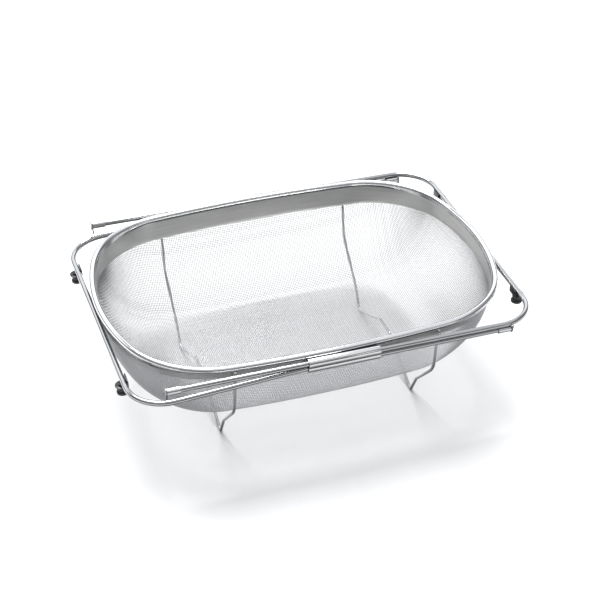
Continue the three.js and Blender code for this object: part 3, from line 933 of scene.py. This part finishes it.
    def crossings(self, pitch):
        """Points and outward normals of all crossings, and which of them lie on the tub."""
        quarter = self.quarter_net(pitch)
        rows, columns = quarter.shape[:2]
        i, j = np.meshgrid(np.arange(1 - rows, rows), np.arange(1 - columns, columns), indexing="ij")
        flat = quarter[np.abs(i), np.abs(j)] * np.stack([np.sign(i), np.sign(j)], -1)
        shape = flat.shape[:2]
        kept = np.isfinite(flat).all(-1).ravel()
        flat = np.where(kept[:, None], flat.reshape(-1, 2), 0.0)
        points, past = self.place(flat)
        normals = np.cross(*self.slopes(flat))
        normals /= np.maximum(np.linalg.norm(normals, axis=1), self.SINGULAR)[:, None]
        points[:, 0] += MIDDLE_X
        kept &= past <= 0
        over = np.where((i + j) % 2, 1.0, -1.0)
        return points.reshape(*shape, 3), normals.reshape(*shape, 3) * over[:, :, None], kept.reshape(shape)


def runs(mask):
    """Start and end of each unbroken run of True that has at least two members."""
    edges = np.flatnonzero(np.diff(np.concatenate([[0], mask.astype(int), [0]])))
    return [(s, e) for s, e in zip(edges[::2], edges[1::2]) if e - s > 1]


class COLANDER_OT_basket(bpy.types.Operator):
    """Woven wire cloth of the basket, a few pieces for each direction of wire, all on the basket's body."""

    bl_idname = "colander.basket"
    bl_label = "Woven basket"

    # Pieces for the wires of each direction, so that none holds too many faces
    PARTS = 3

    def execute(self, context):
        basket, finish = settings("basket", "finish")
        look = woven_steel("woven wire", finish.cloth_colour)
        tree = wire_tree("woven_wire", True)
        points, lifts, kept = Cloth().crossings(basket.pitch)
        families = {
            "lengthways": (points.transpose(1, 0, 2), lifts.transpose(1, 0, 2), kept.T),
            "crossways": (points, -lifts, kept),
        }
        for family, (at, lift, kept) in families.items():
            lines, rises = [], []
            for i in range(len(at)):
                for start, end in runs(kept[i]):
                    lines.append(at[i, start:end])
                    rises.append(lift[i, start:end])
            amount = np.cumsum([len(line) for line in lines])
            part = (self.PARTS * amount / (amount[-1] + 1)).astype(int)
            for k in range(self.PARTS):
                chosen = np.flatnonzero(part == k)
                made = line_object(f"woven_{family}_{k + 1}", [lines[i] for i in chosen])
                rise = np.concatenate([rises[i] for i in chosen]).astype(np.float32)
                crossing = made.data.attributes.new("crossing", "FLOAT_VECTOR", "POINT")
                crossing.data.foreach_set("vector", rise.ravel())
                sides, lift_height = basket.wire_sides, basket.lift
                grown(made, tree, Radius=basket.wire, Sides=sides, Lift=lift_height, Finish=look)
                face_out(made)
                made.data.polygons.foreach_set("use_smooth", np.ones(len(made.data.polygons), bool))
                dressed(made, "basket", "mesh_basket")
        return {"FINISHED"}


class ArmFrame:
    """Where an arm lies and how it runs, from the named sizes."""

    def __init__(self, side):
        rim, arms = settings("rim", "arms")
        self.skin = arms.rod + arms.guide_play + arms.guide_sheet
        reach = rim.bead + self.skin + rim.clearance
        down = arms.sink - arms.tilt * arms.guide_half
        self.upper_span = rim.half_width + math.sqrt(reach**2 - down**2)
        self.lower_span = self.upper_span - arms.inset
        self.drop = 2 * arms.rod + arms.gap
        self.level = rim.height - arms.sink
        self.slide = Matrix.Translation((MIDDLE_X, 0, self.level)) @ Matrix.Rotation(arms.tilt, 4, "Y")
        self.bend_at = arms.guide_half + arms.guide_end_play
        self.tip = rim.half_length - arms.corner + arms.tip_past
        upper = side == "right"
        spans = (self.upper_span, self.lower_span)
        self.half_span, self.other_span = spans if upper else spans[::-1]
        self.other_rise = -self.drop if upper else self.drop
        self.sag = 0 if upper else arms.sag
        self.reach, self.other_reach = (self.end_reach(upper), self.end_reach(not upper))
        self.matrix = self.slide
        if not upper:
            half_turn = Matrix.Rotation(math.pi, 4, "Z")
            self.matrix = self.slide @ Matrix.Translation((0, 0, -self.drop)) @ half_turn

    def end_reach(self, upper):
        rim, basket, arms = settings("rim", "basket", "arms")
        if upper:
            height = self.level - arms.tilt * rim.half_length
        else:
            sag = (rim.half_length - self.bend_at) * math.sin(arms.sag)
            height = self.level - self.drop + arms.tilt * rim.half_length - sag
        lean = basket.end_slope * (rim.height - height)
        return rim.half_length - basket_inset() - lean + rim.clearance + arms.rod

    def at(self, x, y):
        past = max(0.0, x - self.bend_at)
        return self.matrix @ Vector((x - past * (1 - math.cos(self.sag)), y, -past * math.sin(self.sag)))

    def end_matrix(self):
        turned_down = self.matrix.to_3x3() @ Matrix.Rotation(self.sag, 3, "Y")
        return Matrix.Translation(self.at(self.reach, 0)) @ turned_down.to_4x4()


class COLANDER_OT_arms(bpy.types.Operator):
    """Two U-shaped wire arms."""

    bl_idname = "colander.arms"
    bl_label = "Arms"

    def execute(self, context):
        arms, finish = settings("arms", "finish")
        look = polished_steel("polished wire", finish.arm_colour, roughness=0.08)
        for side in ARM_SIDES:
            place = ArmFrame(side)
            half = [(-place.tip, 0), (place.bend_at, arms.corner), (place.reach, arms.corner)]
            run = [(place.at(x, -place.half_span), bend) for x, bend in half]
            run += [(place.at(x, place.half_span), bend) for x, bend in half[::-1]]
            wire = bent_wire(f"arm_wire_{side}", run, arms.rod, look, sides=28)
            dressed(wire, f"{side}_arm", f"arm_{side}")
        return {"FINISHED"}


class COLANDER_OT_legs(bpy.types.Operator):
    """Two bent leg wires, spot-welded under the bead."""

    bl_idname = "colander.legs"
    bl_label = "Legs"

    def execute(self, context):
        rim, basket, legs, finish = settings("rim", "basket", "legs", "finish")
        look = polished_steel("leg wire", finish.leg_colour, roughness=0.16)
        lean = math.atan(basket.side_slope)
        bow_in = rim.side_bow - math.sqrt(rim.side_bow**2 - legs.half_spacing**2)
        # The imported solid's wire has eight flats, on which it stands
        flat_radius = legs.wire * math.cos(math.pi / 8)

        def wall_out(height):
            return rim.half_width - basket_inset() - basket.side_slope * (rim.height - height) - bow_in

        top = rim.height - rim.bead - rim.clearance - legs.wire * math.sin(lean)
        top_out = wall_out(top) + (rim.clearance + legs.wire) / math.cos(lean)
        knee = wall_out(legs.knee_height) + legs.knee_off
        ankle = knee - legs.shin
        tip = ankle - legs.heel
        half = [
            (top_out, top, 0),
            (top_out - legs.top * math.sin(lean), top - legs.top * math.cos(lean), legs.bend),
            (knee, legs.knee_height, legs.knee_bend),
            (ankle, basket.floor_height - legs.ankle_drop, legs.bend),
            (tip + legs.tip_flat / 2, flat_radius, legs.tip_bend),
            (tip - legs.tip_flat / 2, flat_radius, legs.tip_bend),
            (legs.floor_out, basket.floor_height - rim.clearance - legs.wire, legs.bend),
        ]
        for side, x_sign in zip(ARM_SIDES, (-1, 1)):
            x = MIDDLE_X + x_sign * legs.half_spacing
            run = [((x, -out, height), bend) for out, height, bend in half]
            run += [((x, out, height), bend) for out, height, bend in half[::-1]]
            wire = bent_wire(f"leg_{side}", run, flat_radius, look, sides=20)
            dressed(wire, "basket", f"leg_wire_{side}")
        return {"FINISHED"}


class COLANDER_OT_guides(bpy.types.Operator):
    """Folded sheet guides at the middle of the long sides."""

    bl_idname = "colander.guides"
    bl_label = "Guides"

    CHANNEL_STEPS = 28
    SHOULDER_STEPS = 8
    BEVEL = 0.12 * MM

    def execute(self, context):
        rim, basket, arms, finish = settings("rim", "basket", "arms", "finish")
        look = polished_steel("folded sheet", finish.guide_colour, roughness=0.14)
        place = ArmFrame("right")
        upper = Vector((place.upper_span, 0))
        lower = Vector((place.lower_span, -place.drop))
        middle = (upper + lower) / 2
        down = (lower - upper).normalized()
        outwards = Vector((-down.y, down.x))

        def waist(radius, sign):
            chord = math.sqrt(radius**2 - ((upper - lower).length / 2) ** 2)
            return middle + outwards * sign * chord

        def wrap(centre, radius, start, end, clockwise, steps=self.CHANNEL_STEPS):
            a, b = (math.atan2(*(p - centre).yx) for p in (start, end))
            if clockwise and b > a:
                b -= 2 * math.pi
            if not clockwise and b < a:
                b += 2 * math.pi
            return arc(centre, radius, a, b, steps)

        lean = math.hypot(1, basket.side_slope)
        web_top = arms.sink - rim.bead - arms.tilt * arms.guide_half - rim.clearance
        web_bottom = web_top - arms.guide_sheet
        flange_bottom = web_top - arms.guide_flange

        def off_wall(z, off):
            wall = rim.half_width - basket_inset() - basket.side_slope * (rim.height - place.level - z)
            return (wall + off * lean, z)

        def on_skin(z):
            return Vector((upper.x - math.sqrt(place.skin**2 - z**2), z))

        bore = place.skin - arms.guide_sheet
        outline = [
            off_wall(web_bottom, rim.clearance + arms.guide_sheet),
            off_wall(flange_bottom, rim.clearance + arms.guide_sheet),
            off_wall(flange_bottom, rim.clearance),
            off_wall(web_top, rim.clearance),
        ]
        outline += wrap(upper, place.skin, on_skin(web_top), waist(place.skin, 1), True)
        outline += wrap(lower, place.skin, waist(place.skin, 1), waist(place.skin, -1), True)[1:]
        shoulder = waist(place.skin, -1), on_skin(web_bottom)
        outline += wrap(upper, place.skin, *shoulder, True, self.SHOULDER_STEPS)[1:]
        hole = wrap(upper, bore, waist(bore, 1), waist(bore, -1), False)
        hole += wrap(lower, bore, waist(bore, -1), waist(bore, 1), False)[1:-1]
        for face, turn in (("rear", 0), ("front", math.pi)):
            matrix = place.slide @ Matrix.Rotation(turn, 4, "Z") @ ALONG_X
            depth = 2 * arms.guide_half
            sleeve = plate(f"guide_sleeve_{face}", [outline, hole], depth, self.BEVEL, matrix)
            smooth(sleeve, degrees=32)
            dressed(sleeve, "basket", f"guide_{face}", look)
        return {"FINISHED"}


class COLANDER_OT_caps(bpy.types.Operator):
    """Caps on the rod ends, with a forked plate for the other arm's rod."""

    bl_idname = "colander.caps"
    bl_label = "Rod caps"

    SIDES = 40
    CROWN_STEPS = 24
    NOTCH_SIDES = 48
    SOFT_EDGE = 0.2 * MM
    PLATE_BEVEL = 0.15 * MM
    # More than the cutter for the notch needs on either side of the other rod
    CUT_HALF = 20 * MM

    def execute(self, context):
        rim, arms, finish = settings("rim", "arms", "finish")
        looks = (
            polished_steel("pressed cap", finish.guide_colour, roughness=0.16),
            polished_steel("pressed fork", finish.fork_colour, roughness=0.3),
        )
        bore = arms.rod + rim.clearance
        skin = bore + arms.cap_wall
        soft, cut_half = self.SOFT_EDGE, self.CUT_HALF
        towards_x = Matrix.Rotation(math.pi / 2, 4, "Y")
        for side in ARM_SIDES:
            place = ArmFrame(side)
            closed = -place.tip - rim.clearance - arms.fork_sheet
            open_end = closed + arms.cap_length
            profile = [
                (0, closed),
                (skin - soft, closed),
                (skin, closed + soft),
                (skin, open_end - soft),
                (skin - soft, open_end),
                (bore + soft, open_end),
                (bore, open_end - soft),
                (bore, closed + arms.fork_sheet),
                (0, closed + arms.fork_sheet),
            ]
            run = max(0.0, arms.corner - place.other_reach - closed)
            turn = math.asin(run / arms.corner)
            shift = arms.corner * (1 - math.cos(turn))
            notch_radius = arms.rod / math.cos(turn) + arms.fork_play + shift / 2
            prong = notch_radius + arms.fork_prong
            crown = skin + arms.fork_crown
            for sign in (-1, 1):
                face = "front" if (sign < 0) == (side == "right") else "rear"
                matrix = place.matrix @ Matrix.Translation((0, sign * place.half_span, 0))
                notch = (sign * (place.other_span - place.half_span - shift / 2), place.other_rise)
                over = math.copysign(1, -place.other_rise)
                outline = [(notch[0] - prong, notch[1]), (notch[0] + prong, notch[1])]
                outline += arc((0, 0), crown, 0, over * math.pi, self.CROWN_STEPS)
                if over < 0:
                    outline = outline[::-1]
                cap = turned(f"cap_{side}_{face}", profile, self.SIDES, matrix @ towards_x)
                at_plate = matrix @ Matrix.Translation((closed + arms.fork_sheet / 2, 0, 0)) @ ALONG_X
                fork = plate("fork", [outline], arms.fork_sheet, self.PLATE_BEVEL, at_plate)
                at_notch = matrix @ Matrix.Translation((closed, *notch)) @ towards_x
                cut = [(0, -cut_half), (notch_radius, -cut_half), (notch_radius, cut_half), (0, cut_half)]
                combined(cap, fork, "UNION")
                combined(cap, turned("passage", cut, self.NOTCH_SIDES, at_notch), "DIFFERENCE")
                smooth(cap, degrees=30)
                for look in looks:
                    cap.data.materials.append(look)
                along = matrix.inverted()
                plate_end = closed + arms.fork_sheet + 0.01 * MM
                for polygon in cap.data.polygons:
                    polygon.material_index = int((along @ polygon.center).x < plate_end)
                dressed(cap, f"{side}_arm", f"rod_cap_{side}_{face}")
        return {"FINISHED"}


class COLANDER_OT_feet(bpy.types.Operator):
    """Bent tabs under the end rods and the rubber feet in them."""

    bl_idname = "colander.feet"
    bl_label = "Tabs and feet"

    SIDES = 40
    # Steps of the tab's outer and inner bend, of its round end and hole, and of a foot's edge
    BEND_STEPS = (10, 8)
    ROUND_STEPS = 32
    EDGE_STEPS = 4
    TAB_BEVEL = 0.12 * MM

    def execute(self, context):
        rim, arms, feet, finish = settings("rim", "arms", "feet", "finish")
        # Painted shade: near-black tab tint standing in for the tabs in shade, with a lighter underside
        # share
        steel = polished_steel("bent tab", finish.tab_shade_colour, roughness=0.3, underside=0.6)
        rubber = black_rubber("moulded rubber", finish.rubber_colour)
        drop = arms.rod + feet.button_gap + feet.button_height + rim.clearance
        back = -arms.rod - rim.clearance - feet.sheet
        floor = -drop - feet.sheet
        half_width = feet.width / 2
        tongue = feet.outset + half_width
        bend = (back + feet.bend, floor + feet.bend)
        section = [(back, feet.rise)]
        outer_steps, inner_steps = self.BEND_STEPS
        section += arc(bend, feet.bend, math.pi, 1.5 * math.pi, outer_steps)
        section += [(tongue, floor), (tongue, -drop)]
        section += arc(bend, feet.bend - feet.sheet, 1.5 * math.pi, math.pi, inner_steps)
        section += [(back + feet.sheet, feet.rise)]
        plan = [(back - rim.clearance, half_width), (back - rim.clearance, -half_width)]
        plan += arc((feet.outset, 0), half_width, -math.pi / 2, math.pi / 2, self.ROUND_STEPS)
        hole = arc((feet.outset, 0), feet.hole, 0, 2 * math.pi, self.ROUND_STEPS)[:-1]
        profile = self.foot_profile(feet, drop, rim.clearance)
        lateral = ArmFrame("left").lower_span - arms.corner - feet.corner_gap - half_width
        wide, tall, sharp = 1.2 * feet.width, 30 * MM, 0.01 * MM
        for side in ARM_SIDES:
            place = ArmFrame(side)
            for sign in (-1, 1):
                face = "front" if (sign < 0) == (side == "right") else "rear"
                matrix = place.end_matrix() @ Matrix.Translation((0, sign * lateral, 0))
                tab = plate(f"tab_{side}_{face}", [section], wide, sharp, matrix @ UPRIGHT)
                combined(tab, plate("tab_plan", [plan, hole], tall, sharp, matrix), "INTERSECT")
                soften = tab.modifiers.new("edges", "BEVEL")
                soften.width = self.TAB_BEVEL
                soften.segments = 2
                soften.angle_limit = math.radians(50)
                settle(tab)
                smooth(tab, degrees=35)
                dressed(tab, f"{side}_arm", f"foot_tab_{side}_{face}", steel)
                at = matrix @ Matrix.Translation((feet.outset, 0, 0))
                foot = turned(f"foot_{side}_{face}", profile, self.SIDES, at)
                smooth(foot, degrees=50)
                dressed(foot, f"{side}_arm", f"rubber_foot_{side}_{face}", rubber)
        return {"FINISHED"}

    def foot_profile(self, feet, drop, clearance):
        """Radii and heights of a foot, from its flange up through the tab to its button."""
        collar_top = -drop - feet.sheet - clearance
        collar_low = collar_top - feet.collar_height
        flange_top = collar_low - feet.neck_length
        bottom = flange_top - feet.flange_height
        button_low = clearance - drop
        button_top = button_low + feet.button_height
        stem = feet.hole - clearance
        edge, steps = feet.edge, self.EDGE_STEPS
        profile = [(0, bottom), (feet.flange - edge, bottom)]
        profile += arc((feet.flange - edge, bottom + edge), edge, -math.pi / 2, 0, steps)[1:]
        profile += arc((feet.flange - edge, flange_top - edge), edge, 0, math.pi / 2, steps)
        profile += arc((feet.neck + edge, flange_top + edge), edge, 1.5 * math.pi, math.pi, steps)
        profile += [(feet.neck, collar_low - edge / 4), (feet.neck + edge / 4, collar_low)]
        profile += [(feet.collar - edge / 4, collar_low), (feet.collar, collar_low + edge / 4)]
        profile += [(feet.collar, collar_top - edge / 4), (feet.collar - edge / 4, collar_top)]
        profile += [(stem, collar_top), (stem, button_low), (feet.button, button_low)]
        profile += arc((feet.button - edge, button_top - edge), edge, 0, math.pi / 2, steps)
        return profile + [(0, button_top)]


class COLANDER_OT_stage(bpy.types.Operator):
    """Pale floor, soft studio light and the camera."""

    bl_idname = "colander.stage"
    bl_label = "Stage"

    FLOOR_RADIUS = 8
    FLOOR_SIDES = 64
    FLOOR_DEPTH = 0.1 * MM
    FLOOR_ROUGHNESS = 0.6
    LAMP_PLACE = (0.0, 1.7, 3.7)
    LAMP_SIZE = 2.2
    LAMP_POWER = 190
    # Brightness of the surroundings from straight below, at 0, to straight above, at 1
    TONES = ((0.0, 1.0), (0.32, 1.0), (0.42, 0.05), (0.56, 0.05), (0.66, 0.32), (0.85, 0.4), (0.89, 1.0))
    TINT = (0.955, 0.97, 1.0)
    POWER = 0.95
    CARD_DIRECTION = (0.53, -0.79, 0.31)
    # Edges of the card and the window, each with its softness
    CARD_EDGE = (0.985, 0.02)
    CARD_POWER = 2.2
    WINDOW_START = (0.5, 0.2)
    WINDOW_BOTTOM = (0.26, 0.08)
    WINDOW_TOP = (0.66, 0.1)
    WINDOW_POWER = 3.4
    # Camera, with its focal length and shift in pixels of a square picture, and its sensor in millimetres
    PICTURE = 600
    AZIMUTH = math.radians(-19.15)
    ELEVATION = math.radians(35.15)
    TARGET = Vector((0.012508, -0.000383, 0.065754))
    DISTANCE = 1.38265
    FOCAL_PIXELS = 1606.35
    SHIFT_PIXELS = (-7.25, 3.80)
    SENSOR_WIDTH = 36
    CLIP_END = 50

    def execute(self, context):
        scene = context.scene
        scene.view_settings.view_transform = "Standard"
        self.floor(scene.colander.finish.floor_colour)
        self.sky(scene)
        self.lamp()
        self.camera(scene)
        return {"FINISHED"}

    def floor(self, tint):
        look, graph = material("pale floor")
        graph.surface(Base_Color=(*tint, 1), Roughness=self.FLOOR_ROUGHNESS)
        edge = arc((0, 0), self.FLOOR_RADIUS, 0, 2 * math.pi, self.FLOOR_SIDES)[:-1]
        floor = new_object("floor", [(x, y, 0) for x, y in edge], [range(self.FLOOR_SIDES)])
        floor.location.z = -self.FLOOR_DEPTH
        floor.data.materials.append(look)

    def sky(self, scene):
        """Bright ceiling over dark walls, with a bright card and a window, for the lines in the steel."""
        scene.world = bpy.data.worlds.new("studio")
        scene.world.use_nodes = True
        graph = Graph(scene.world.node_tree)
        direction = graph.node("ShaderNodeTexCoord", None, None, 0)
        rearward, height = (graph.node("ShaderNodeSeparateXYZ", None, {0: direction}, k) for k in (1, 2))
        stops = [(place, tuple(channel * tone for channel in self.TINT)) for place, tone in self.TONES]
        tone = graph.node("ShaderNodeValToRGB", {"stops": stops}, {0: height * 0.5 + 0.5})
        sockets = {0: direction, 1: self.CARD_DIRECTION}
        towards_card = graph.node("ShaderNodeVectorMath", {"operation": "DOT_PRODUCT"}, sockets, 1)
        card = 1 - towards_card.below(*self.CARD_EDGE)
        window = (1 - rearward.below(*self.WINDOW_START)) * (1 - height.below(*self.WINDOW_BOTTOM))
        window = window * height.below(*self.WINDOW_TOP)
        power = card * self.CARD_POWER + window * self.WINDOW_POWER + self.POWER
        light = graph.node("ShaderNodeBackground", None, {"Color": tone, "Strength": power})
        graph.node("ShaderNodeOutputWorld", None, {"Surface": light})

    def lamp(self):
        light = bpy.data.lights.new("key", "AREA")
        light.size = self.LAMP_SIZE
        light.energy = self.LAMP_POWER
        made = in_scene("key", light)
        aimed(made, Vector(self.LAMP_PLACE), Vector(self.LAMP_PLACE))

    def camera(self, scene):
        level = math.cos(self.ELEVATION)
        back = Vector(
            (math.sin(self.AZIMUTH) * level, -math.cos(self.AZIMUTH) * level, math.sin(self.ELEVATION))
        )
        data = bpy.data.cameras.new("camera")
        data.sensor_width = self.SENSOR_WIDTH
        data.lens = data.sensor_width * self.FOCAL_PIXELS / self.PICTURE
        data.shift_x, data.shift_y = (shift / self.PICTURE for shift in self.SHIFT_PIXELS)
        data.clip_end = self.CLIP_END
        scene.camera = in_scene("camera", data)
        aimed(scene.camera, self.TARGET + back * self.DISTANCE, back)


class COLANDER_PT_panel(bpy.types.Panel):
    """Operators of the colander in the order in which they are run."""

    bl_idname = "COLANDER_PT_panel"
    bl_label = "Extendable colander"
    bl_space_type = "VIEW_3D"
    bl_region_type = "UI"
    bl_category = "Colander"

    def draw(self, context):
        for operator in OPERATORS:
            self.layout.operator(operator.bl_idname)


GROUPS = (RimSizes, BasketSizes, ArmSizes, FootSizes, LegSizes, Finishes, ColanderSettings)
OPERATORS = (
    COLANDER_OT_rim,
    COLANDER_OT_basket,
    COLANDER_OT_legs,
    COLANDER_OT_guides,
    COLANDER_OT_arms,
    COLANDER_OT_caps,
    COLANDER_OT_feet,
    COLANDER_OT_stage,
)


def register():
    for cls in (*GROUPS, *OPERATORS, COLANDER_PT_panel):
        bpy.utils.register_class(cls)
    bpy.types.Scene.colander = PointerProperty(type=ColanderSettings)


def unregister():
    del bpy.types.Scene.colander
    for cls in (COLANDER_PT_panel, *reversed(OPERATORS), *reversed(GROUPS)):
        bpy.utils.unregister_class(cls)


def main():
    register()
    for operator in OPERATORS:
        group, name = operator.bl_idname.split(".")
        getattr(getattr(bpy.ops, group), name)()


if __name__ == "__main__":
    main()
